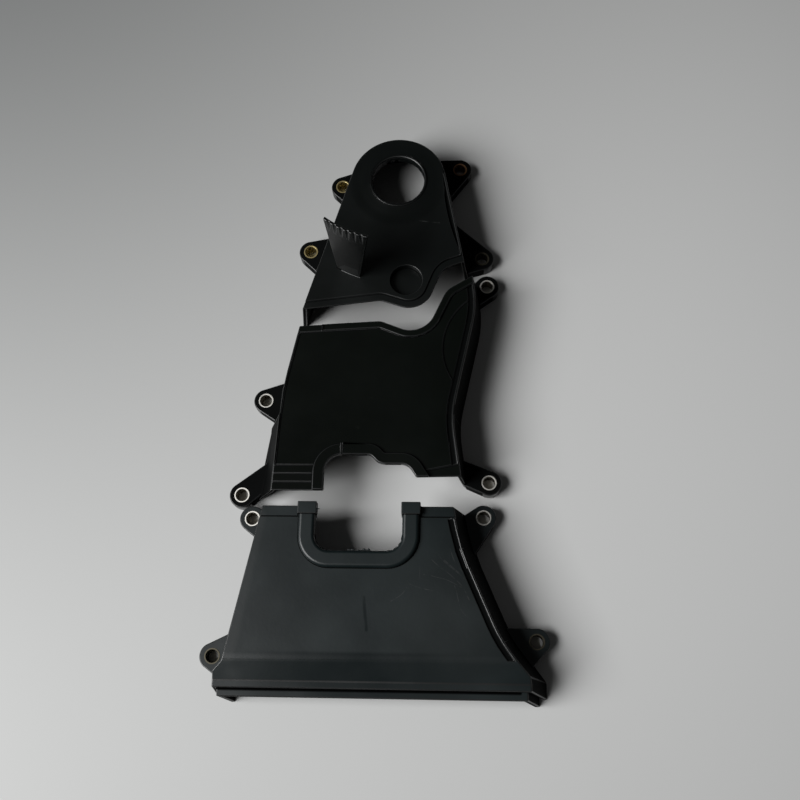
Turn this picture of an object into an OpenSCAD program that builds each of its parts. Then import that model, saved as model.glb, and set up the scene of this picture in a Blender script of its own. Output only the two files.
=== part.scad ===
// Timing cover of a belt-driven engine: three moulded sections that lie face up on their back rims,
// in the order in which they bolt to the engine, with a pressed-in metal sleeve in each bolt lug.
// X runs across the covers, Y from the wide end towards the hub opening, and Z up from the rims.

/* [Shells] */
// Height of a face above the back rim
depth = 32; // [28:1:38]
// Thickness of a face
plate = 2.5; // [2:0.1:3]
// Thickness of a side wall
wall = 2.5; // [2:0.1:3.2]
// Height of the ridge along an edge, above the face
ridge_h = 0.8; // [0.5:0.1:1.5]
// Width of the ridge along an edge
ridge_w = 1.5; // [1.2:0.1:3]
// Width of the groove beside a ridge on the right
groove_w = 3; // [2:0.1:4]
// Depth of the sunken areas beside a ridge
scoop_depth = 1; // [0.6:0.1:1.2]

/* [Lap joints] */
// Width of the lip where two sections lap
lip_w = 4.8; // [3.5:0.1:6]
// Height of the step at a lip
lip_step = 1.2; // [0.8:0.1:1.4]

/* [Lugs and sleeves] */
// Thickness of a bolt lug
lug_t = 9; // [7:0.5:12]
// Radius of a bolt lug round its bolt
lug_r = 8; // [7:0.1:8.3]
// Outside diameter of a sleeve
sleeve_od = 9.6; // [9:0.1:11]
// Bore of a sleeve, a clearance hole for an M6 bolt
sleeve_bore = 7.8; // [6.4:0.1:8.2]
// Height of a sleeve above its lug
sleeve_proud = 0.3; // [0:0.1:0.6]
// Chamfer at the mouths of a sleeve
sleeve_chamfer = 0.2; // [0.1:0.05:0.3]

/* [Upper cover] */
// Radius of the round head, about the hub axis
head_r = 32; // [30:0.5:36]
// Lean of the left side, in degrees
upper_left_lean = 16.5; // [14:0.5:18]
// Lean of the right side, in degrees
upper_right_lean = 11; // [9:0.5:13]
// How far the walls spread between face and rim
upper_flare = 3.6; // [2:0.1:4]
// Radius of the hub opening
hub_r = 17.5; // [15:0.1:20]
// Width of the rim round the hub opening
hub_rim = 1.7; // [1.2:0.1:3]
// Height of that rim above its pad
hub_rim_h = 0.8; // [0.5:0.1:2]
// Depth of the collar below the face
hub_collar = 5; // [4:0.5:10]
// Radius of the low pad round the hub opening, where it fades into the face
pad_r = 30.5; // [27:0.5:31]
// Height of that pad
pad_h = 0.6; // [0.3:0.1:0.9]
// Radius of the blind plug seat
plug_r = 10.5; // [8:0.1:11]
// Depth of the blind plug seat
plug_depth = 5; // [3:0.5:7]
// Width of the sunken crescent beside the right ridge
crescent_w = 2.4; // [2:0.1:5]
// Length of that crescent
crescent_len = 56; // [40:1:76]

/* [Timing scale] */
// Radius of the scale's inner side at the face, about the hub axis
scale_r = 72.8; // [71:0.1:76]
// Height of the scale above the face
scale_h = 52; // [30:1:60]
// Thickness of the scale at the face
scale_t = 2.6; // [2:0.1:3.5]
// Width of the scale at the face
scale_foot_w = 16.6; // [12:0.1:20]
// Width of the scale at its top
scale_top_w = 30.5; // [22:0.5:32]
// How far the top of the scale leans towards the hub axis
scale_lean = 4.3; // [2:0.1:6]
// Direction of the scale from the hub axis, in degrees
scale_at = 245; // [242:0.5:246]
// Number of marks on the scale
marks = 6; // [4:1:7]
// Length of a mark, which runs out at its low end
mark_len = 14; // [10:1:20]
// Radius of the groove of a mark
mark_r = 1.1; // [0.8:0.1:1.4]

/* [Middle cover] */
// How far the left wall spreads between face and rim
middle_left_flare = 4; // [2:0.1:5]
// How far it spreads just below its lug
step_flare = 10; // [6:0.5:12]
// How far it spreads at its low end
tail_flare = 15; // [8:0.5:16]
// How far the right wall spreads between face and rim
middle_right_flare = 4.6; // [2:0.1:5]
// Width of the band round the arched cut-out
band_w = 7; // [5:0.1:8]
// Height of that band above the face
band_h = 1.8; // [1:0.1:2.5]
// Length of the stepped lip at the lower left
tail_lip = 15.8; // [12:0.1:18]
// Radius of the relief for the neighbouring pulley
relief_r = 41; // [38:0.1:43]
// Width of the thin ribs across lip and band
rib_w = 0.9; // [0.6:0.1:1.5]
// Height of those ribs
rib_h = 0.4; // [0.2:0.1:0.8]

/* [Lower cover] */
// How far the left wall spreads between face and rim
lower_left_flare = 3; // [2:0.1:4]
// How far the right wall spreads between face and rim
lower_right_flare = 9; // [7:0.1:10]
// How far the right wall spreads at the wide end
foot_flare = 13.2; // [12:0.1:14]
// Width of the face at its wide end
lower_w = 184.6; // [180:0.1:188]
// Length of the face, from the wide end to the narrow end
lower_len = 107.5; // [106:0.5:109]
// Length of the sunken lip at the narrow end
narrow_lip = 6.8; // [5:0.1:8]
// Width of the U-shaped cut-out
notch_w = 52.8; // [46:0.1:56]
// Depth of the cut-out from the narrow end
notch_len = 27.5; // [24:0.1:32]
// Corner radius of the cut-out
notch_r = 9; // [6:0.1:12]
// Middle of the cut-out, from the middle of the wide end
notch_x = -8.4; // [-11:0.1:-5]
// Width of the bead round the cut-out
bead_w = 10.5; // [8:0.1:12]
// Height of that bead above the face
bead_h = 2.8; // [2:0.1:4]
// Radius of the bead's upper edges
bead_r = 2.2; // [1:0.1:3.5]
// Length of the block at each end of the bead
block_len = 7.5; // [6:0.1:9]
// Length of the sloping end of the face
bend_len = 13; // [10:0.5:16]
// Drop of the sloping end of the face
bend_drop = 5; // [3:0.1:6]
// Radius at the top of that slope
bend_r = 14; // [6:1:20]
// Length of the level lip beyond the slope
end_lip = 4; // [3:0.1:6]
// Gap between the end lip and the flange below it
channel_h = 3; // [2:0.1:4]
// How far that flange stands out beyond the lip
flange_out = 5; // [3:0.1:6]

/* [Layout] */
// From the narrow end of the lower cover to the lower edge of the middle cover
middle_gap = 9.5; // [9:0.1:30]
// From the lap line of the middle cover to that of the upper cover, along Y
seam_gap = 16.4; // [12:0.1:40]
// Place of the hub axis across the covers
hub_x = 11.5; // [8:0.1:14]

/* [Hidden] */
$fn = 64;
arc_step = 6; // degrees for each short side of a rounded corner
over = 1;     // how far a cut runs past the material
far = 60;     // how far a region reaches past a cover
span = 300;   // more than a cover measures
hair = 0.15;  // inset that keeps the sides of two forms from meeting in one line
black = [0.09, 0.09, 0.095];

// Each lug is [bolt, first root, second root]. The roots lie inside the wall that carries the lug.
upper_lugs = [
    [[-40.3, 8.8], [-20, 24], [-29, -13]],
    [[41.9, 21.5], [32, -5], [14, 29]],
    [[-60.7, -41.5], [-40, -29.5], [-50, -62.5]],
    [[56.8, -47.4], [43, -59.5], [36, -18.5]]
];
middle_lugs = [
    [[-74.1, 64.8], [-55, 79.5], [-58, 44.5]],
    [[-86, 1.5], [-60, 31], [-60.5, 13.5]],
    [[71.5, 145.8], [60, 128], [58, 143.5]],
    [[71.6, 10.4], [49.5, 11.5], [49.5, 27.5]]
];
lower_lugs = [
    [[-78.3, lower_len - 4.2], [-67, lower_len - 0.5], [-70, lower_len - 20.5]],
    [[67.9, lower_len - 2.6], [58, lower_len - 32.5], [52, lower_len - 3.5]],
    [[-lower_w / 2 - 5.5, 18.4], [-lower_w / 2 + 10.3, 35], [-lower_w / 2 + 2.3, 3]],
    [[lower_w / 2 + 7.2, 29.5], [lower_w / 2 - 4.3, 5], [lower_w / 2 - 18.3, 37.5]]
];

function xy(p) = [p.x, p.y];
function unit(v) = v / norm(v);
function reverse(p) = [for (i = [len(p) - 1:-1:0]) p[i]];
function nearest(a) = a > 180 ? a - 360 : a < -180 ? a + 360 : a;
function polar(r, a) = r * [cos(a), sin(a)];

// Points p turned by a degrees and moved to c
function placed(p, c, a) =
    [for (q = p) c + [q.x * cos(a) - q.y * sin(a), q.x * sin(a) + q.y * cos(a)]];

// Corner b between a and c, rounded with radius r
function corner(a, b, c, r) =
    r == 0 ? [b] :
    let (
        u = unit(a - b),
        v = unit(c - b),
        half = acos(u * v) / 2,
        middle = b + unit(u + v) * r / sin(half),
        first = b + u * r / tan(half) - middle,
        last = b + v * r / tan(half) - middle,
        start = atan2(first.y, first.x),
        sweep = nearest(atan2(last.y, last.x) - start),
        n = max(1, ceil(abs(sweep) / arc_step))
    )
    [for (i = [0:n]) middle + polar(r, start + sweep * i / n)];

// Path through the points p, each [x, y, corner radius], with sharp ends
function path(p) = [
    for (i = [0:len(p) - 1])
        each i == 0 || i == len(p) - 1 ? [xy(p[i])]
            : corner(xy(p[i - 1]), xy(p[i]), xy(p[i + 1]), p[i][2])
];

// Anticlockwise outline p with edge i, from point i to the next, moved outwards by d[i]
function grow(p, d) =
    let (n = len(p))
    [
        for (i = [0:n - 1])
            let (
                before = (i + n - 1) % n,
                u = unit(p[i] - p[before]),
                v = unit(p[(i + 1) % n] - p[i]),
                a = [u.y, -u.x],
                b = [v.y, -v.x],
                c = a * b,
                s = 1 - c * c
            )
            p[i] + (s < 1e-6 ? d[i] * b : ((d[before] - c * d[i]) * a + (d[i] - c * d[before]) * b) / s)
    ];
function grow_all(p, d) = grow(p, [for (q = p) d]);

// A strip is [face outline, side of each edge, rim outline]. The sides are 0 at an open end, 1 right,
// 2 left and 3 at the right foot, and flare says how far each side spreads at the rim.
function strip(outline, sides, flare) = [outline, sides, grow(outline, [for (side = sides) flare[side]])];
function sides(right, left) =
    concat([for (i = [2:len(right)]) 1], [0], [for (i = [2:len(left)]) 2], [0]);
// Outline of strip s at height z, with its edges moved outwards by d, given for [ends, right, left, foot]
function ring(s, z, d) =
    let (k = 1 - z / depth)
    grow([for (i = [0:len(s[0]) - 1]) (1 - k) * s[0][i] + k * s[2][i]], [for (side = s[1]) d[side]]);

// Lap line between the upper and middle covers: level, a round dip about its origin, then a rise
dip_r = 16.4;
function seam(rise, heading) = path([
    [-90, -9],
    [-19.6, -9, 10],
    [7.2, -21.4, dip_r],
    [rise.x, rise.y, 14],
    [rise.x + far * cos(heading), rise.y + far * sin(heading)]
]);

// Upper cover, from the hub axis: two leaning sides that are tangent to the round head
upper_reach = 125;
head_arc = 180 - upper_left_lean - upper_right_lean;
head_n = ceil(head_arc / arc_step) * 2;
head_right = polar(head_r, upper_right_lean);
head_left = polar(head_r, 180 - upper_left_lean);
upper_outline = concat(
    [head_right + upper_reach * [sin(upper_right_lean), -cos(upper_right_lean)]],
    [for (i = [0:head_n]) polar(head_r, upper_right_lean + head_arc * i / head_n)],
    [head_left - upper_reach * [sin(upper_left_lean), cos(upper_left_lean)]]
);
upper_strip = strip(
    upper_outline, concat([for (i = [2:len(upper_outline)]) 1], [0]), [0, upper_flare]
);
upper_seam_at = [8.1, -76];
upper_seam = placed(seam([23.2, 8.7], 12), upper_seam_at, 6.9);
below_upper = concat(reverse(upper_seam), [[-90, -190], [90, -190]]);
plug_at = [6.3, -73.2];
plug_wall = 2;
notch_across = 3; // size of a notch in the lower end of the hub collar
notch_up = 2.2;

// Middle cover, from the line of its lower edge
middle_right = path([[57, -17], [48.3, 49, 70], [64, 122, 70], [59.5, 158]]);
middle_left = path([[-49, 117], [-60.2, 63, 200], [-64.6, -12]]);
middle_even = strip(
    concat(middle_right, middle_left), sides(middle_right, middle_left),
    [0, middle_right_flare, middle_left_flare]
);
// The left wall spreads more at the last two points of the outline, from its lug to its low end.
middle_n = len(middle_even[0]);
middle_spread = [
    for (i = [1:middle_n])
        i < middle_n - 1 ? middle_left_flare : i < middle_n ? step_flare : tail_flare
];
middle_strip = [
    middle_even[0], middle_even[1],
    [for (i = [0:middle_n - 1]) middle_even[2][i] - [middle_spread[i] - middle_left_flare, 0]]
];
middle_seam_at = [21, 121.6];
middle_seam = placed(seam([24, 10.2], 28), middle_seam_at, 3.3);
above_middle = concat(middle_seam, [[110, 220], [-90, 220]]);
arch_left = -31;
arch_right = 29;
arch_edge = reverse(path([
    [arch_left, 0], [arch_left, 22.4, 11], [-2.2, 22.4, 5], [3, 16.5, 9], [21, 16.5, 8], [26, 8.6]
]));
arch = concat([[arch_right, -far], [arch_right, 4]], arch_edge, [[arch_left, -far]]);
below_middle = concat(arch_edge, [[-100, 0], [-100, -2 * far], [100, -2 * far], [100, 10.5]]);
relief_at = [83.1, 93.1];
right_lip = [[arch_right, -far], [100, -far], [100, 27], [arch_right, 12.2]];
tail_steps = 3;
lip_start = -36;        // left end of the raised lip
band_rib = [-20.7, 18]; // low end of the rib across the band

// Lower cover, from the middle of its wide end
lower_right = path([
    [lower_w / 2, -10], [lower_w / 2, 8.7, 0], [76.5, 30, 80], [54, 82, 120], [46.5, lower_len + 10.5]
]);
lower_left = path([
    [-66.5, lower_len + 7.5], [-87, 15, 5], [-lower_w / 2, 9, 0], [-lower_w / 2, -10]
]);
lower_sides = sides(lower_right, lower_left);
lower_strip = strip(
    concat(lower_right, lower_left), [for (i = [0:len(lower_sides) - 1]) i == 0 ? 3 : lower_sides[i]],
    [0, lower_right_flare, lower_left_flare, foot_flare]
);
notch_left = notch_x - notch_w / 2;
notch_right = notch_x + notch_w / 2;
notch_low = lower_len - notch_len;
notch = path([
    [notch_left, lower_len + far], [notch_left, notch_low, notch_r],
    [notch_right, notch_low, notch_r], [notch_right, lower_len + far]
]);
block_low = lower_len + 2 - block_len;
block_inner = 0.6; // how far a block stands into the cut-out
lip_top = depth - bend_drop;
flange_top = lip_top - plate - channel_h;
flange_back = end_lip + plate;
end_slant = 3.8; // how far the wall ends run out between lip and rim
// Place along Y, at height h, of a slanted end that passes through p, given as [y, z]
function slanted(p, h) = p[0] - end_slant * (p[1] - h) / lip_top;
flange_left = -lower_w / 2 + 1.3;
flange_right = lower_w / 2 + 0.3;
flange_front = [-flange_out, flange_top];
flange_reach = -slanted(flange_front, 0);

// Datums of the covers as they lie, and the middle of the whole layout, which is the origin
lower_at = [0, 0];
middle_at = [0, lower_len + middle_gap];
upper_at = [hub_x, middle_at.y + middle_seam_at.y + seam_gap - upper_seam_at.y];
places = [upper_at, middle_at, lower_at];
lug_x = [for (c = [0:2]) for (l = [upper_lugs, middle_lugs, lower_lugs][c]) places[c].x + l[0].x];
centre = [
    (min(lug_x) + max(lug_x)) / 2,
    (upper_at.y + head_r + upper_flare + lower_at.y - flange_reach) / 2
];
module at(place) {
    translate([place.x - centre.x, place.y - centre.y, 0]) children();
}

// Solid of strip s, with its edges moved outwards by d. It runs past the rim and the face.
module draft(s, d) {
    n = len(s[0]);
    z = [-2 * over, depth + 3 * over];
    polyhedron(
        points = [for (h = z) for (q = ring(s, h, d)) [q.x, q.y, h]],
        faces = concat(
            [[for (i = [0:n - 1]) i]],
            [[for (i = [n - 1:-1:0]) n + i]],
            [for (i = [0:n - 1]) [i, n + i, n + (i + 1) % n]],
            [for (i = [0:n - 1]) [i, n + (i + 1) % n, (i + 1) % n]]
        )
    );
}
// All that lies between two heights
module layer(z0, z1) {
    translate([-span, -span, z0]) cube([2 * span, 2 * span, z1 - z0]);
}
// Block of strip s up to height z, and the hollow inside it up to the underside of the face
module outer(s, z) {
    intersection() {
        draft(s, [0, 0, 0, 0]);
        layer(-over, z);
    }
}
module inner(s) {
    intersection() {
        draft(s, [over, -wall, -wall, -wall]);
        layer(-far, depth - plate);
    }
}

// Slab of outline p between heights z0 and z1
module slab(p, z0, z1) {
    translate([0, 0, z0]) linear_extrude(z1 - z0) polygon(p);
}

// Prism across the cover whose section is the points [y, z]
module across(section) {
    translate([-span / 2, 0, 0]) rotate([90, 0, 90]) linear_extrude(span) polygon(section);
}

// From the flat shape of the children: a form that stands h above the face, and a cut to h above it
module raised(h) {
    translate([0, 0, depth - plate / 2]) linear_extrude(h + plate / 2) children();
}
module cut_to(h) {
    translate([0, 0, depth + h]) linear_extrude(far) children();
}

// Point at which a line from q just enters the lug disc about p, on the side given as 1 or -1
function tangent(p, q, side) =
    let (r = lug_r - 0.05)
    p + polar(r, atan2(q.y - p.y, q.x - p.x) + side * acos(r / norm(q - p)));

module lug_bodies(s, lugs) {
    difference() {
        for (l = lugs) {
            translate([l[0].x, l[0].y, -over / 2]) cylinder(r = lug_r, h = lug_t + over / 2);
            slab([l[0], tangent(l[0], l[1], 1), l[1], l[2], tangent(l[0], l[2], -1)], -over / 2, lug_t);
        }
        draft(s, [over, -wall / 2, -wall / 2, -wall / 2]);
    }
}
module lug_bores(lugs) {
    for (l = lugs)
        translate([l[0].x, l[0].y, -over]) cylinder(d = sleeve_od, h = lug_t + 2 * over);
}

// Groove on the inner side of the right ridge of strip s
module groove_shape(s) {
    difference() {
        polygon(ring(s, depth, [over, -ridge_w, over, over]));
        polygon(ring(s, depth, [over, -ridge_w - groove_w, over, over]));
    }
}

// Fan-shaped piece of a cone about the hub axis, with marks on its outer side
module timing_scale() {
    foot = depth - plate / 2;
    top = depth + scale_h;
    top_r = scale_r - scale_lean;
    top_t = scale_t * 0.8;
    difference() {
        intersection() {
            rotate([0, 0, scale_at - 30]) rotate_extrude(angle = 60, $fn = 180)
                polygon([[scale_r, foot], [scale_r + scale_t, foot], [top_r + top_t, top], [top_r, top]]);
            rotate([0, 0, scale_at]) rotate([90, 0, 90]) translate([0, 0, top_r - far / 2])
                linear_extrude(far)
                    polygon([
                        [-scale_foot_w / 2, foot], [scale_foot_w / 2, foot],
                        [scale_top_w / 2, top], [-scale_top_w / 2, top]
                    ]);
        }
        for (i = [0:marks - 1])
            rotate([0, 0, scale_at + asin((i + 0.5 - marks / 2) * scale_top_w * 0.85 / marks / top_r)])
                translate([top_r + top_t + mark_r / 3, 0, top])
                    rotate([0, 180 - atan(scale_lean / scale_h) - atan(mark_r / mark_len), 0])
                        translate([0, 0, -over]) cylinder(r = mark_r, h = mark_len + over);
    }
}

// Flat shapes along the right side of the upper cover: the ridge, and a crescent on its inner side
module beside_right(inset) {
    translate(head_right) rotate(180 + upper_right_lean) translate([inset, over / 2]) children();
}
module right_ridge() {
    beside_right(-far) square([far + ridge_w + hair, upper_reach]);
}
module crescent() {
    r = (crescent_w ^ 2 + crescent_len ^ 2 / 4) / (2 * crescent_w);
    intersection() {
        beside_right(ridge_w) square([2 * crescent_w, crescent_len + 2]);
        beside_right(ridge_w + crescent_w - r) translate([0, crescent_len / 2 + 1]) circle(r);
    }
}

module upper_cover() {
    rim_top = depth + pad_h + hub_rim_h;
    color(black) at(upper_at) difference() {
        union() {
            difference() {
                outer(upper_strip, depth + ridge_h);
                cut_to(0) difference() {
                    square(2 * span, center = true);
                    right_ridge();
                }
                cut_to(-1.5 * scoop_depth) crescent();
                slab(below_upper, -far, far);
                slab(grow_all(below_upper, lip_w), depth - lip_step, far);
                inner(upper_strip);
            }
            lug_bodies(upper_strip, upper_lugs);
            translate([0, 0, depth - plate / 2])
                rotate_extrude() polygon([
                    [0, 0], [pad_r, 0], [pad_r, plate / 2 - hair], [hub_r + hub_rim, plate / 2 + pad_h],
                    [0, plate / 2 + pad_h]
                ]);
            translate([0, 0, depth - hub_collar])
                cylinder(r = hub_r + hub_rim, h = rim_top - depth + hub_collar);
            translate([plug_at.x, plug_at.y, depth - plug_depth - plug_wall])
                cylinder(r = plug_r + plug_wall, h = plug_depth);
            timing_scale();
        }
        translate([0, 0, depth - hub_collar - over]) cylinder(r = hub_r, h = hub_collar + 4 * over);
        translate([0, 0, rim_top - hub_rim / 2])
            cylinder(r1 = hub_r, r2 = hub_r + hub_rim / 2 + over, h = hub_rim / 2 + over);
        for (a = [96, 114])
            rotate([0, 0, a]) translate([hub_r - over, -notch_across / 2, depth - hub_collar - over])
                cube([hub_rim + 2 * over, notch_across, notch_up + over]);
        translate([plug_at.x, plug_at.y, depth - plug_depth]) cylinder(r = plug_r, h = plug_depth + over);
        lug_bores(upper_lugs);
        layer(-far, 0);
    }
}

module middle_cover() {
    lip = grow_all(above_middle, lip_w);
    color(black) at(middle_at) difference() {
        union() {
            difference() {
                union() {
                    difference() {
                        outer(middle_strip, depth + lip_step);
                        cut_to(0) difference() {
                            polygon(ring(middle_strip, depth, [over, -ridge_w - groove_w / 2, -ridge_w, 0]));
                            polygon(lip);
                        }
                        cut_to(ridge_h) difference() {
                            square(2 * span, center = true);
                            polygon(grow_all(above_middle, lip_w - hair));
                        }
                        cut_to(lip_step / 3) intersection() {
                            polygon(grow_all(above_middle, lip_w + hair));
                            translate([-span, 80]) square([span + lip_start, 60]);
                        }
                        cut_to(-scoop_depth) difference() {
                            groove_shape(middle_strip);
                            polygon(grow_all(above_middle, lip_w + hair));
                        }
                        cut_to(-scoop_depth * 0.7) intersection() {
                            translate(relief_at) circle(relief_r);
                            polygon(ring(middle_strip, depth, [0, -ridge_w - groove_w / 2, 0, 0]));
                        }
                        cut_to(-lip_step) polygon(right_lip);
                        for (i = [1:tail_steps])
                            cut_to(-lip_step * i / tail_steps) translate([-100, -far])
                                square([100 + arch_left, far + tail_lip * (1 - (i - 1) / tail_steps)]);
                    }
                    raised(band_h) polygon(grow_all(arch, band_w));
                    raised(band_h + rib_h) intersection() {
                        polygon(grow_all(arch, band_w - hair));
                        translate(band_rib) square([rib_w, 2 * band_w]);
                    }
                    raised(lip_step + rib_h) intersection() {
                        polygon(grow_all(above_middle, lip_w - hair));
                        translate([lip_start, 80]) square([rib_w, 60]);
                    }
                }
                slab(above_middle, -far, far);
                slab(below_middle, -far, far);
                inner(middle_strip);
            }
            lug_bodies(middle_strip, middle_lugs);
        }
        lug_bores(middle_lugs);
        layer(-far, 0);
    }
}

// Section of the bead round the cut-out, centred across its width, with rounded upper edges
module bead_section() {
    w = bead_w - 2 * hair;
    r = min(bead_r, bead_h - hair);
    translate([0, depth]) {
        translate([-w / 2, -plate / 2]) square([w, plate / 2 + bead_h - r]);
        translate([r - w / 2, -plate / 2]) square([w - 2 * r, plate / 2 + bead_h]);
        for (x = [r - w / 2, w / 2 - r]) translate([x, bead_h - r]) circle(r);
    }
}
module bead() {
    low = notch_low + notch_r;
    turn_r = notch_r + bead_w / 2;
    for (x = [notch_left - bead_w / 2, notch_right + bead_w / 2])
        translate([x, block_low + over, 0]) rotate([90, 0, 0])
            linear_extrude(block_low + over - low) bead_section();
    for (side = [[notch_left + notch_r, 180], [notch_right - notch_r, 270]])
        translate([side[0], low, 0]) rotate([0, 0, side[1]])
            rotate_extrude(angle = 90) translate([turn_r, 0]) bead_section();
    translate([notch_left + notch_r, low - turn_r, 0]) rotate([90, 0, 90])
        linear_extrude(notch_w - 2 * notch_r) bead_section();
}
module blocks() {
    w = bead_w + 2 * block_inner;
    for (x = [notch_left - bead_w - block_inner, notch_right - block_inner])
        translate([x, block_low, depth - plate - over]) cube([w, block_len, plate + bead_h + 1.4 * over]);
}

// Section of the flange inside the wide end, moved in by d, from height z0 to its top
function flange_section(d, z0) = [
    [flange_left + 5.4 + 1.1 * d, z0], [flange_left + d, flange_top - d],
    [flange_right - d, flange_top - d], [flange_right + 9.2 - 1.1 * d, z0]
];
// Flange that makes a channel for a seal with the end of the walls, and the web that carries it
module seal_channel() {
    intersection() {
        translate([0, flange_back - plate / 2, 0]) rotate([90, 0, 0]) linear_extrude(far) difference() {
            polygon(flange_section(0, -2 * over));
            polygon(flange_section(plate, -3 * over));
        }
        across([
            [slanted(flange_front, -3 * over), -3 * over], [far, -3 * over],
            [far, depth], [slanted(flange_front, depth), depth]
        ]);
    }
    translate([0, flange_back, 0]) rotate([90, 0, 0]) linear_extrude(plate) difference() {
        polygon([
            [-lower_w / 2 - lower_left_flare + wall / 2, -1.5 * over],
            [-lower_w / 2 + wall / 2, lip_top - plate / 2], [lower_w / 2 - wall / 2, lip_top - plate / 2],
            [lower_w / 2 + foot_flare - wall / 2, -1.5 * over]
        ]);
        polygon(flange_section(plate / 2, -3 * over));
    }
}

module lower_cover() {
    bend = end_lip + bend_len;
    color(black) at(lower_at) difference() {
        union() {
            difference() {
                intersection() {
                    draft(lower_strip, [0, 0, 0, 0]);
                    across(concat(
                        [[slanted([0, lip_top], -over), -over], [lower_len, -over]],
                        [[lower_len, depth + ridge_h], [bend + bend_r, depth + ridge_h]],
                        corner([bend + bend_r, depth], [bend, depth], [end_lip, lip_top], bend_r),
                        [[end_lip, lip_top], [0, lip_top]]
                    ));
                }
                cut_to(0) difference() {
                    square(2 * span, center = true);
                    difference() {
                        polygon(ring(lower_strip, depth, [0, over, over, over]));
                        polygon(ring(
                            lower_strip, depth, [over, -ridge_w - groove_w / 2, 2 * over, 2 * over]
                        ));
                    }
                }
                cut_to(-scoop_depth) intersection() {
                    groove_shape(lower_strip);
                    translate([0, bend]) square([span, lower_len - bend - narrow_lip - ridge_w]);
                }
                translate([-span / 2, lower_len - narrow_lip, depth - lip_step]) cube([span, far, far]);
                slab(notch, depth - plate - over, far);
                intersection() {
                    draft(lower_strip, [over, -wall, -wall, -wall]);
                    across(concat(
                        [[-far, -far], [lower_len + far, -far], [lower_len + far, depth - plate]],
                        [[bend, depth - plate], [end_lip, lip_top - plate], [-far, lip_top - plate]]
                    ));
                }
            }
            lug_bodies(lower_strip, lower_lugs);
            bead();
            blocks();
            seal_channel();
        }
        lug_bores(lower_lugs);
        layer(-far, 0);
    }
}

// Rolled metal tube, pressed flush with the back of its lug
module sleeve(place, bolt) {
    r = sleeve_bore / 2;
    c = sleeve_chamfer;
    top = lug_t + sleeve_proud;
    color([0.72, 0.68, 0.55]) at(place) translate(bolt) rotate_extrude()
        polygon([
            [r + c, 0], [sleeve_od / 2, 0], [sleeve_od / 2, top], [r + c, top], [r, top - c], [r, c]
        ]);
}

upper_cover();
middle_cover();
lower_cover();
for (i = [0:3]) {
    sleeve(upper_at, upper_lugs[i][0]);
    sleeve(middle_at, middle_lugs[i][0]);
    sleeve(lower_at, lower_lugs[i][0]);
}
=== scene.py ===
"""Looks of a timing cover: three satin black mouldings with a metal sleeve in each bolt lug."""

import math

import bmesh
import bpy
import numpy as np
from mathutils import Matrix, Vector


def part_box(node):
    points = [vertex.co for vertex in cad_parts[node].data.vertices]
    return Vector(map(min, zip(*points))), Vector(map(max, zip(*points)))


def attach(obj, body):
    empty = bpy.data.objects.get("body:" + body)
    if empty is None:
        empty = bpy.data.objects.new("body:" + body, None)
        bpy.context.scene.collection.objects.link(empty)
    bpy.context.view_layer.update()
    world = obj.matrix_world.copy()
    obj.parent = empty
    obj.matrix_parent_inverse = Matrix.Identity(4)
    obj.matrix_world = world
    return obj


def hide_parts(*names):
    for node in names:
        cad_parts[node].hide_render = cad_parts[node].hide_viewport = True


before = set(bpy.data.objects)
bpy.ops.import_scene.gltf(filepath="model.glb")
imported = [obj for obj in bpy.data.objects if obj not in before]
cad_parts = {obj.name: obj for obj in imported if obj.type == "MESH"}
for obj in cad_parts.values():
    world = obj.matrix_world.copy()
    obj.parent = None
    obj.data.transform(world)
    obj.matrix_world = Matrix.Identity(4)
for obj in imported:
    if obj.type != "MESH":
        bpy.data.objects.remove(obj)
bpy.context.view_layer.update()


# The upper cover is the end with the hub: a round head with the hub opening, a plug seat and the
# upright timing scale. It is one injection moulding in glass-filled nylon, satin black, and four
# bolts hold it through its lugs. Its sharp edges have the small radius that the mould leaves.

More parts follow.
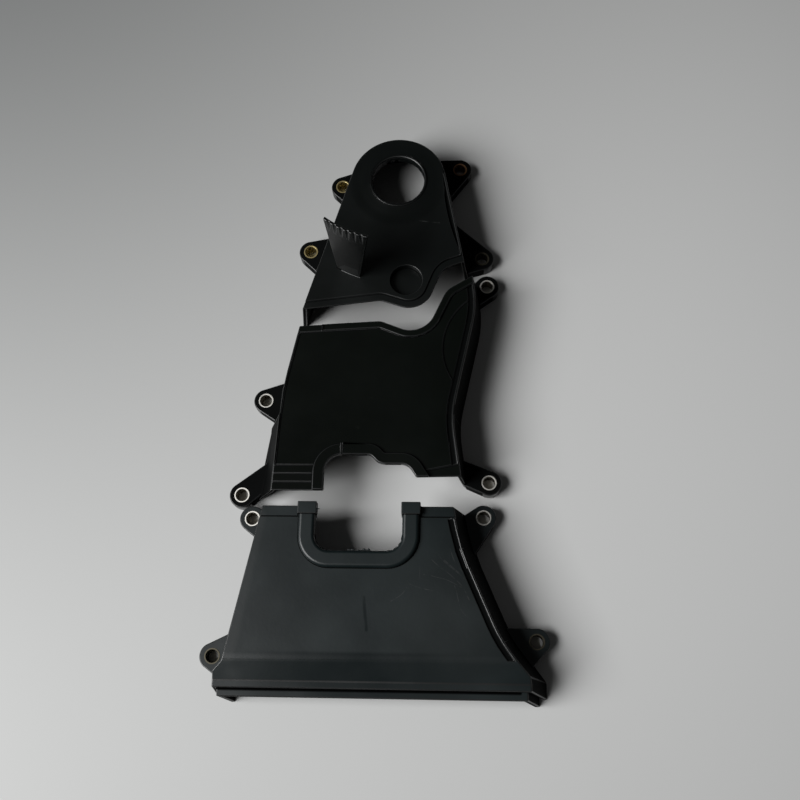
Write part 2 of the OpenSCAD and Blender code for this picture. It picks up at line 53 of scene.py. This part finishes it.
class Wire:
    """A socket of a material. Arithmetic on wires and numbers adds the Math nodes."""

    def __init__(self, tree, socket):
        self.tree = tree
        self.socket = socket

    def node(self, kind, settings=None, inputs=None, out=0):
        """Adds a node: its settings are set first, then each socket gets a value or a wire."""
        new = self.tree.nodes.new("ShaderNode" + kind)
        for key, value in (settings or {}).items():
            setattr(new, key, value)
        for key, value in (inputs or {}).items():
            if isinstance(value, Wire):
                self.tree.links.new(value.socket, new.inputs[key])
            else:
                new.inputs[key].default_value = value
        return Wire(self.tree, new.outputs[out])

    def maths(self, operation, first, second):
        """Math of two wires or numbers."""
        return self.node("Math", {"operation": operation}, {0: first, 1: second})

    def __add__(self, other):
        return self.maths("ADD", self, other)

    def __radd__(self, other):
        return self.maths("ADD", other, self)

    def __sub__(self, other):
        return self.maths("SUBTRACT", self, other)

    def __rsub__(self, other):
        return self.maths("SUBTRACT", other, self)

    def __mul__(self, other):
        return self.maths("MULTIPLY", self, other)

    def __rmul__(self, other):
        return self.maths("MULTIPLY", other, self)

    def vector(self, operation, other, out=0):
        """Vector Math of this wire and another vector."""
        return self.node("VectorMath", {"operation": operation}, {0: self, 1: other}, out)

    def along(self, direction):
        """How far these coordinates reach along a direction from the origin."""
        return self.vector("DOT_PRODUCT", direction, "Value")

    def gap(self, point):
        """Distance from a point."""
        return self.vector("DISTANCE", point, "Value")

    def band(self, low, high):
        """0 below low and 1 above high, with a smooth rise between; low may be the larger."""
        return self.node("MapRange", {"interpolation_type": "SMOOTHSTEP"},
                         {"Value": self, "From Min": low, "From Max": high})

    def noise(self, per_metre, detail=2.0, stretch=(1, 1, 1), turn=0.0):
        """Noise from 0 to 1 over these coordinates, with per_metre features to the metre."""
        turned = self.node("Mapping", None,
                           {"Vector": self, "Rotation": (0, 0, turn), "Scale": stretch})
        return self.node("TexNoise", None,
                         {"Vector": turned, "Scale": per_metre, "Detail": detail}, out="Fac")

    def bend(self, per_metre, reach):
        """These coordinates moved about by up to half of reach, so that strokes over them curve."""
        drift = self.node("TexNoise", None,
                          {"Vector": self, "Scale": per_metre, "Detail": 0.0}, out="Color")
        level = drift.vector("SUBTRACT", (0.5, 0.5, 0.5)).vector("MULTIPLY", (reach, reach, 0))
        return self.vector("ADD", level)

    def spot(self, centre, radius):
        """1 at centre, falling to 0 at radius."""
        return self.gap(centre).band(radius, 0.0)

    def stroke(self, start, end, width):
        """1 within 0.3 of width from the line from start to end, falling to 0 at width from it."""
        run = Vector(end) - Vector(start)
        away = self.vector("SUBTRACT", start)
        share = self.node("Math", {"operation": "MULTIPLY", "use_clamp": True},
                          {0: away.along(run), 1: 1 / run.length_squared})
        foot = self.node("VectorMath", {"operation": "SCALE"}, {0: run, "Scale": share})
        return away.gap(foot).band(width, 0.3 * width)

    def mix(self, first, second):
        """Colour first where this wire is 0 and second where it is 1; each a colour or a wire."""
        first, second = (c if isinstance(c, Wire) else (*c, 1) for c in (first, second))
        return self.node("Mix", {"data_type": "RGBA"}, {"Factor": self, "A": first, "B": second}, out=2)


def new_material(name):
    """A material, its shader, and a wire with the piece's own coordinates in metres."""
    material = bpy.data.materials.new(name)
    material.use_nodes = True
    tree = material.node_tree
    place = tree.nodes.new("ShaderNodeTexCoord").outputs["Object"]
    return material, tree.nodes["Principled BSDF"], Wire(tree, place)


def feed(shader, socket, wire):
    """Joins a wire to an input of the shader."""
    wire.tree.links.new(wire.socket, shader.inputs[socket])


def unmarked(place):
    """No marks: 0 everywhere."""
    return place.maths("ADD", 0.0, 0.0)


scuff_and_sheen_grey = (0.036, 0.038, 0.037)
grain_depth = 0.00006


def satin_plastic(name, black, haze, roughness, gloss, light_marks_and_sheen=unmarked, dark_marks_and_shade=unmarked):
    """Moulded nylon: near black with a cloudy film of dust, a fine grain and a soft uneven sheen.

    The marks are functions of the coordinates that give masks: light ones are scuffed places and
    painted sheen, dark ones polished places and painted shade. haze is the colour of the film at its
    densest.
    """
    material, shader, place = new_material(name)
    cloud = place.noise(28, detail=3)
    drift = place.noise(9, stretch=(1, 0.45, 1), turn=0.5)
    grain = place.noise(1500, detail=1)
    film = cloud.band(0.3, 0.75) * 0.6 + drift.band(0.3, 0.7) * 0.4
    speck = place.noise(480).band(0.70, 0.78)
    # Light marks are scuffs and painted sheen; dark marks are polish and painted shade.
    scuff_and_sheen = light_marks_and_sheen(place)
    polish_and_shade = dark_marks_and_shade(place)
    dust = (film + speck * 0.8) * (1 - 0.8 * polish_and_shade)
    feed(shader, "Base Color", scuff_and_sheen.mix(dust.mix(black, haze), scuff_and_sheen_grey))
    uneven = roughness - 0.05 + 0.08 * film + 0.02 * grain
    feed(shader, "Roughness", uneven + 0.12 * scuff_and_sheen - 0.08 * polish_and_shade)
    shader.inputs["Specular IOR Level"].default_value = gloss
    height = grain * 0.5 + place.noise(380) - 0.6 * scuff_and_sheen
    feed(shader, "Normal", place.node(
        "Bump", None, {"Height": height, "Strength": 0.3, "Distance": grain_depth}))
    return material


# Three copies of the same nylon. The edge plastic is lighter and glossier: partly edges burnished by
# wear, partly a painted highlight along the roundings. The wall plastic, dark and almost without gloss,
# is painted shade on walls, groove floors and inner corners. The scale plastic, darker and duller, is
# painted shade on the timing scale.
highlight_edge_plastic = satin_plastic(
    "highlight_edge_plastic", black=(0.005, 0.0057, 0.0057), haze=(0.012, 0.013, 0.013),
    roughness=0.35, gloss=0.55)
shade_wall_plastic = satin_plastic(
    "shade_wall_plastic", black=(0.0018, 0.0021, 0.0021), haze=(0.0036, 0.0040, 0.0040),
    roughness=0.66, gloss=0.03)
shade_scale_plastic = satin_plastic(
    "shade_scale_plastic", black=(0.0008, 0.0011, 0.0010), haze=(0.0022, 0.0027, 0.0025),
    roughness=0.40, gloss=0.22)
face_slot, highlight_slot, shade_slot, scale_shade_slot = range(4)

sleeve_axes = np.array([np.mean(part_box(name), 0)[:2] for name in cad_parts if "_sleeve_" in name])
seat_reach = 0.0052  # from a sleeve's axis to just outside its seat
weld = 2e-6
level_slack = 1e-5
narrow_ledge = 0.00035
sharp_turn = 26  # degrees between the faces at an edge
gentle_turn = 14
gentle_length = 0.003


def read(items, name, columns=1, kind=float):
    """One value of each of a mesh's items as an array, with a row for each item."""
    flat = np.empty(len(items) * columns, kind)
    items.foreach_get(name, flat)
    return flat.reshape(-1, columns) if columns > 1 else flat


def rounded_copy(node, radius, ledge, material):
    """A copy of a CAD node's mesh with its edges rounded, and a slot for each plastic.

    Narrow ledges at one height are closed first. An edge is rounded where it turns sharply, or
    gently over some length, and the seats of the sleeves stay sharp. The result is held inside the
    node's own box, and faces without area are taken out.
    """
    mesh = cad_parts[node].data.copy()
    work = bmesh.new()
    work.from_mesh(mesh)
    bmesh.ops.remove_doubles(work, verts=work.verts, dist=weld)
    on_ledge = [v for v in work.verts if abs(v.co.z - ledge) < level_slack]
    bmesh.ops.remove_doubles(work, verts=on_ledge, dist=narrow_ledge)
    weight = work.edges.layers.float.new("bevel_weight_edge")
    for edge in work.edges:
        turn = math.degrees(edge.calc_face_angle(0))
        bends = turn > sharp_turn or (turn > gentle_turn and edge.calc_length() > gentle_length)
        from_axis = np.linalg.norm(sleeve_axes - edge.verts[0].co.xy, axis=1).min()
        edge[weight] = float(bends and from_axis >= seat_reach)
    work.to_mesh(mesh)
    work.free()

    mesh.materials.clear()
    for plastic in (material, highlight_edge_plastic, shade_wall_plastic, shade_scale_plastic):
        mesh.materials.append(plastic)
    mesh.polygons.foreach_set("material_index", np.full(len(mesh.polygons), face_slot, np.int32))
    blank = bpy.data.objects.new(node + "_blank", mesh)
    bpy.context.collection.objects.link(blank)
    bevel = blank.modifiers.new("edge radius", "BEVEL")
    bevel.width = radius
    bevel.segments = 2
    bevel.limit_method = "WEIGHT"
    bevel.use_clamp_overlap = False
    bevel.loop_slide = False
    bevel.material = highlight_slot
    rounded = bpy.data.meshes.new_from_object(
        blank.evaluated_get(bpy.context.evaluated_depsgraph_get()))
    bpy.data.objects.remove(blank)

    held = np.clip(read(rounded.vertices, "co", 3), *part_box(node))
    rounded.vertices.foreach_set("co", held.ravel())
    work = bmesh.new()
    work.from_mesh(rounded)
    bmesh.ops.dissolve_degenerate(work, edges=work.edges, dist=weld)
    work.to_mesh(rounded)
    work.free()
    return rounded


normal_steps = 300  # faces lie in one plane if their normals and offsets round to the same step
offset_steps = 20000
upright_below = 0.5  # upward parts of a face's normal
level_above = 0.98
wall_top = 0.0325
least_wall = 1.5e-5  # square metres
groove_slack = 2e-5
scale_from = 0.038
scale_foot = (-0.0125, 0.0836)
scale_reach = 0.012


def moulding(node, radius, ledge, groove_floor, shaded_below, material):
    """Stands for a CAD node, with its edges rounded as the mould leaves them.

    Each corner's normal is the mean of the faces round it, each counted by the area of the whole
    plane that it lies in, so that flat faces stay flat and only the roundings turn the light.
    Upright walls, groove floors, level faces below shaded_below and inner corners get the wall plastic,
    a glossless copy of the nylon that is painted shade. An inner corner is a rounding whose normals
    lean towards one another, and those at the foot of the timing scale keep the edge plastic's painted
    highlight. The scale has its own darker copy above scale_from, painted shade.
    """
    mesh = rounded_copy(node, radius, ledge, material)
    normal = read(mesh.polygons, "normal", 3)
    middle = read(mesh.polygons, "center", 3)
    sides = read(mesh.polygons, "loop_total", kind=int)
    corner = read(mesh.loops, "vertex_index", kind=int)
    offset = (normal * middle).sum(1)
    plane = np.column_stack([normal * normal_steps, offset * offset_steps]).round()
    group = np.unique(plane, axis=0, return_inverse=True)[1].ravel()
    plane_area = np.bincount(group, read(mesh.polygons, "area"))[group]
    pull = (plane_area[:, None] * normal).repeat(sides, 0)
    shade = np.column_stack([np.bincount(corner, pull[:, i], len(mesh.vertices)) for i in range(3)])
    shade /= np.maximum(np.linalg.norm(shade, axis=1, keepdims=True), 1e-12)
    mesh.shade_smooth()
    mesh.normals_split_custom_set_from_vertices(shade)

    height = middle[:, 2]
    upright = (abs(normal[:, 2]) < upright_below) & (height < wall_top) & (plane_area > least_wall)
    sunk = (height < shaded_below) | (abs(height - groove_floor) < groove_slack)
    shaded_faces = upright | (normal[:, 2] > level_above) & sunk
    owner = np.arange(len(sides)).repeat(sides)
    arm = read(mesh.vertices, "co", 3)[corner] - middle[owner]
    spread = np.bincount(owner, (shade[corner] * arm).sum(1))
    by_scale = np.linalg.norm(middle[:, :2] - scale_foot, axis=1) < scale_reach
    # Painted shade: walls, groove floors, low level faces and inner corners take the wall plastic, and
    # the scale its darker copy; the scale's foot keeps the painted highlight.
    slot = read(mesh.polygons, "material_index", kind=np.int32)
    on_face = slot == face_slot
    inner = (slot == highlight_slot) & (spread < 0) & ~by_scale
    slot[on_face & shaded_faces | inner] = shade_slot
    slot[on_face & (height > scale_from)] = scale_shade_slot
    mesh.polygons.foreach_set("material_index", slot)

    piece = bpy.data.objects.new(node + "_moulding", mesh)
    bpy.context.collection.objects.link(piece)
    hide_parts(node)
    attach(piece, "root")


face = 0.032  # height of the three faces above the back rims
hub = (0.0106, 0.1513, face)


def upper_scratches(place):
    """One short broken scratch across the face below the hub opening."""
    scratch = place.stroke((0.0255, 0.1213, face), (0.0385, 0.1198, face), 0.0005)
    return scratch * place.noise(260).band(0.3, 0.6) * 0.7


def upper_shade_and_patch(place):
    """Painted shade: a darker, glossier disc round the hub opening; and a darker, glossier patch by the
    plug seat.
    """
    ring = place.gap(hub).band(0.0345, 0.0300)
    patch = place.spot((0.03, 0.10, face), 0.045)
    return ring * 0.55 + patch * 0.4


upper_plastic = satin_plastic(
    "upper_plastic", black=(0.0012, 0.0019, 0.0017), haze=(0.0028, 0.0042, 0.0040),
    roughness=0.385, gloss=0.44, light_marks_and_sheen=upper_scratches, dark_marks_and_shade=upper_shade_and_patch)
moulding("upper_cover", radius=0.00057, ledge=0.0328, groove_floor=0.0305, shaded_below=0.011,
         material=upper_plastic)


# The middle cover closes the run of the belt. It is moulded as the upper one is, follows its edge
# with a raised lip, and has a shallow relief for a pulley and a banded arch at its foot.

def middle_scuffs(place):
    """A few faint rubbed specks near the middle of the face."""
    return place.spot((-0.012, -0.01, face), 0.03) * place.noise(420).band(0.66, 0.75) * 0.10


def middle_shade_and_mottle(place):
    """Painted shade: darker towards the lower left corner, where the lamp's sheen is strongest; and
    darker in random patches over the face.
    """
    corner = place.spot((-0.075, -0.06, face), 0.11)
    return corner * 1.2 + place.noise(14).band(0.35, 0.6) * 0.4


middle_plastic = satin_plastic(
    "middle_plastic", black=(0.0008, 0.0016, 0.0010), haze=(0.0016, 0.0030, 0.0020),
    roughness=0.34, gloss=0.36, light_marks_and_sheen=middle_scuffs, dark_marks_and_shade=middle_shade_and_mottle)
moulding("middle_cover", radius=0.00066, ledge=0.0328, groove_floor=0.031, shaded_below=0.011,
         material=middle_plastic)


# The lower cover is the widest: a flat tapered face with a beaded cut-out, a sloping end and the
# channel for a seal. It is the same nylon, greyer from handling, with scratches on its right side,
# painted sheen on its right and along its left edge, and painted shade on its sloping end and along the
# mouth of the channel.

def lower_scratches_and_sheen(place):
    """A fan of fine scratches right of the middle, a few strays and a rubbed lower left corner, with
    painted sheen: lighter over the right of the face and along its left edge.
    """
    fan = [
        ((0.036, -0.103), (0.058, -0.128), 0.00035),
        ((0.040, -0.101), (0.062, -0.124), 0.0003),
        ((0.044, -0.104), (0.056, -0.117), 0.0004),
        ((0.046, -0.098), (0.066, -0.131), 0.0003),
        ((0.030, -0.112), (0.052, -0.122), 0.0003),
        ((0.052, -0.088), (0.060, -0.108), 0.00035),
        ((0.022, -0.118), (0.038, -0.124), 0.0003),
        ((0.047, -0.121), (0.055, -0.136), 0.0003),
        ((0.012, -0.130), (0.020, -0.121), 0.0003),
    ]
    bent = place.bend(70, reach=0.006)
    lines = sum(bent.stroke((*start, face), (*end, face), width) for start, end, width in fan)
    broken = lines * place.noise(330).band(0.36, 0.64) * 0.4
    streaks = place.noise(620, stretch=(1, 0.06, 1), turn=0.85).band(0.70, 0.80)
    strays = streaks * place.spot((0.036, -0.118, face), 0.034) * 0.3
    corner = place.spot((-0.0815, -0.1735, face), 0.009) * 0.22
    # Painted sheen: the right of the face and a band along the left edge are lighter.
    right = place.spot((0.05, -0.14, face), 0.065) * 0.16
    left = place.stroke((-0.0700, -0.078, face), (-0.0845, -0.162, face), 0.0055) * 0.16
    return broken + strays + corner + right + left


def lower_streak_and_shade(place):
    """A dark streak left of the middle, where the film is rubbed off, and painted shade over the
    sloping end.
    """
    streak = place.stroke((-0.0050, -0.127, face), (-0.0030, -0.146, face), 0.0014)
    worn = streak * place.noise(240, stretch=(1, 0.3, 1)).band(0.25, 0.55)
    # Painted shade: the sloping end beyond the fold is darker.
    shaded_slope_band = place.along((0, 1, 0)).band(-0.1575, -0.1605)
    return worn + shaded_slope_band * place.spot((-0.008, -0.166, face), 0.085) * 1.2


def paint_mouth_shade(material, start, end, width):
    """Paints shade over a material along a line, by a Mix Shader: dead black where the channel's mouth
    stands in shadow.
    """
    tree = material.node_tree
    place = Wire(tree, tree.nodes["Texture Coordinate"].outputs["Object"])
    clean = Wire(tree, tree.nodes["Principled BSDF"].outputs["BSDF"])
    mouth_shade = place.node("BsdfDiffuse", None, {"Color": (0.0015, 0.0015, 0.0015, 1)})
    both = place.node("MixShader", None, {0: place.stroke(start, end, width), 1: clean, 2: mouth_shade})
    tree.links.new(both.socket, tree.nodes["Material Output"].inputs["Surface"])


lower_plastic = satin_plastic(
    "lower_plastic", black=(0.0016, 0.0046, 0.0052), haze=(0.0046, 0.0098, 0.0106),
    roughness=0.405, gloss=0.50, light_marks_and_sheen=lower_scratches_and_sheen, dark_marks_and_shade=lower_streak_and_shade)
# Painted shade: a black line along the mouth of the seal channel.
paint_mouth_shade(lower_plastic, start=(-0.0910, -0.1799, 0.0215), end=(0.0870, -0.1799, 0.0215), width=0.0017)
moulding("lower_cover", radius=0.00057, ledge=0.032, groove_floor=0.031, shaded_below=0,
         material=lower_plastic)


# Flash stays where the halves of the mould met: a ragged fringe on the inner edge of the cut-out
# and a single thorn beside the left block. It is the cover's own nylon, thin enough to tear.

flash_steps = 90


def flash(name, root, run, out, rise, thickness):
    """A wedge along a straight root: at u from 0 to 1 along run, the tip stands at rise(u) of out.

    The section is a flat wedge, thickness deep at the root and a third of that at the tip.
    """
    u = np.linspace(0, 1, flash_steps)[:, None]
    foot = np.array(root) + u * np.array(run)
    tip = foot + rise(u) * np.array(out)
    half = np.array([0, 0, thickness / 2])
    ring = np.stack([foot - half, foot + half, tip + half / 3, tip - half / 3], 1)
    at = np.arange(4 * flash_steps).reshape(flash_steps, 4)
    beside = np.roll(at, -1, 1)
    walls = np.stack([at[:-1], at[1:], beside[1:], beside[:-1]], -1).reshape(-1, 4)
    faces = np.vstack([walls, at[0], at[-1][::-1]])
    mesh = bpy.data.meshes.new(name)
    mesh.from_pydata(ring.reshape(-1, 3).tolist(), [], faces.tolist())
    work = bmesh.new()
    work.from_mesh(mesh)
    bmesh.ops.recalc_face_normals(work, faces=work.faces)
    work.to_mesh(mesh)
    work.free()
    mesh.materials.append(lower_plastic)
    piece = bpy.data.objects.new(name, mesh)
    bpy.context.collection.objects.link(piece)
    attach(piece, "root")


def torn(u):
    """Ragged rise: three sine waves held between 0.15 and 1, tapered at both ends."""
    wave = 0.5 + 0.25 * np.sin(9 * u + 1) + 0.22 * np.sin(31 * u) + 0.12 * np.sin(83 * u + 2)
    return np.clip(wave, 0.15, 1) * np.clip(9 * u * (1 - u), 0.05, 1)


def pointed(u):
    """Straight rise to a blunt point half way along."""
    return np.clip(1.1 - abs(2 * u - 1), 0.05, 1)


flash("lower_flash", root=(-0.0165, -0.0995, 0.0318), run=(0.0160, 0, 0), out=(0.0002, 0.0017, 0.0004),
      rise=torn, thickness=0.0005)
flash("lower_thorn", root=(-0.0352, -0.0752, 0.0346), run=(0, 0.0011, 0), out=(0.0024, 0.0002, 0.0002),
      rise=pointed, thickness=0.0006)


# Twelve sleeves carry the bolts, so that the nylon isn't crushed. Each is a rolled steel tube, zinc
# plated, and is pressed into its lug. The upper cover's are passivated yellow. One is tarnished brown,
# and three are painted dark as shade.

sleeve_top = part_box("middle_sleeve_left")[1][2]


def zinc(name, rim, colour, tarnish, roughness):
    """Plated steel with cloudy passivation, whose rim is rubbed bright by the bolt's head."""
    material, shader, place = new_material(name)
    cloud = place.noise(300)
    rubbed = place.along((0, 0, 1)).band(sleeve_top - 0.0004, sleeve_top - 0.0001)
    feed(shader, "Base Color", rubbed.mix(cloud.band(0.35, 0.7).mix(colour, tarnish), rim))
    shader.inputs["Metallic"].default_value = 1.0
    feed(shader, "Roughness", roughness + 0.2 * cloud + 0.1 * rubbed)
    return material


golden = zinc("golden_zinc", rim=(0.60, 0.50, 0.25), colour=(0.50, 0.41, 0.19),
              tarnish=(0.30, 0.25, 0.11), roughness=0.30)
brown = zinc("brown_zinc", rim=(0.26, 0.15, 0.08), colour=(0.26, 0.15, 0.08),
             tarnish=(0.12, 0.06, 0.035), roughness=0.36)
pale = zinc("pale_zinc", rim=(0.92, 0.90, 0.84), colour=(0.30, 0.28, 0.23),
            tarnish=(0.12, 0.11, 0.085), roughness=0.28)
# Painted shade: dark zinc for the sleeves that lie in shade.
dark = zinc("shade_dark_zinc", rim=(0.11, 0.10, 0.075), colour=(0.11, 0.10, 0.075),
            tarnish=(0.045, 0.04, 0.032), roughness=0.42)
# The brown sleeve is tarnished; the three dark ones are painted shade.
stain_and_shade = {
    "upper_sleeve_head_right": brown,
    "upper_sleeve_right": dark,
    "lower_sleeve_low_left": dark,
    "lower_sleeve_low_right": dark,
}
for name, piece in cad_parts.items():
    if "_sleeve_" in name:
        unstained = golden if name.startswith("upper") else pale
        piece.data.materials.clear()
        piece.data.materials.append(stain_and_shade.get(name, unstained))


# The cover lies on a pale floor, with painted shade towards the upper left and painted light towards
# the right, under one broad soft lamp to the lower left, as a window would light it, and the camera
# looks down from above the wide end.

material, shader, place = new_material("pale_floor")
# Painted shade to the upper left and painted light to the right of the floor.
painted_floor_shade = place.spot((-0.42, 0.46, 0), 0.75)
painted_floor_light = place.spot((0.34, 0.0, 0), 0.7)
pale_grey = painted_floor_light.mix((0.47, 0.475, 0.47), (0.70, 0.705, 0.70))
feed(shader, "Base Color", painted_floor_shade.mix(pale_grey, (0.18, 0.185, 0.185)))
shader.inputs["Roughness"].default_value = 0.6
reach = 6.0
corners = [(-reach, -reach, 0), (reach, -reach, 0), (reach, reach, 0), (-reach, reach, 0)]
mesh = bpy.data.meshes.new("floor")
mesh.from_pydata(corners, [], [(0, 1, 2, 3)])
mesh.materials.append(material)
floor = bpy.data.objects.new("floor", mesh)
bpy.context.collection.objects.link(floor)

window = bpy.data.lights.new("window", "AREA")
window.shape = "SQUARE"
window.size = 1.0
window.energy = 38
lamp = bpy.data.objects.new("window", window)
lamp.location = (-1.15, -0.42, 1.15)
lamp.rotation_euler = (-lamp.location).to_track_quat("-Z", "Y").to_euler()
bpy.context.collection.objects.link(lamp)

world = bpy.data.worlds.new("room")
world.use_nodes = True
world.node_tree.nodes["Background"].inputs["Color"].default_value = (0.03, 0.03, 0.03, 1)
bpy.context.scene.world = world

lens = bpy.data.cameras.new("camera")
lens.lens = 45
lens.sensor_width = 36
camera = bpy.data.objects.new("camera", lens)
camera.location = (0.0463, -0.1955, 0.631)
camera.rotation_euler = [math.radians(a) for a in (17.745, 2.726, 1.0)]
bpy.context.collection.objects.link(camera)
bpy.context.scene.camera = camera
bpy.context.scene.view_settings.view_transform = "Standard"
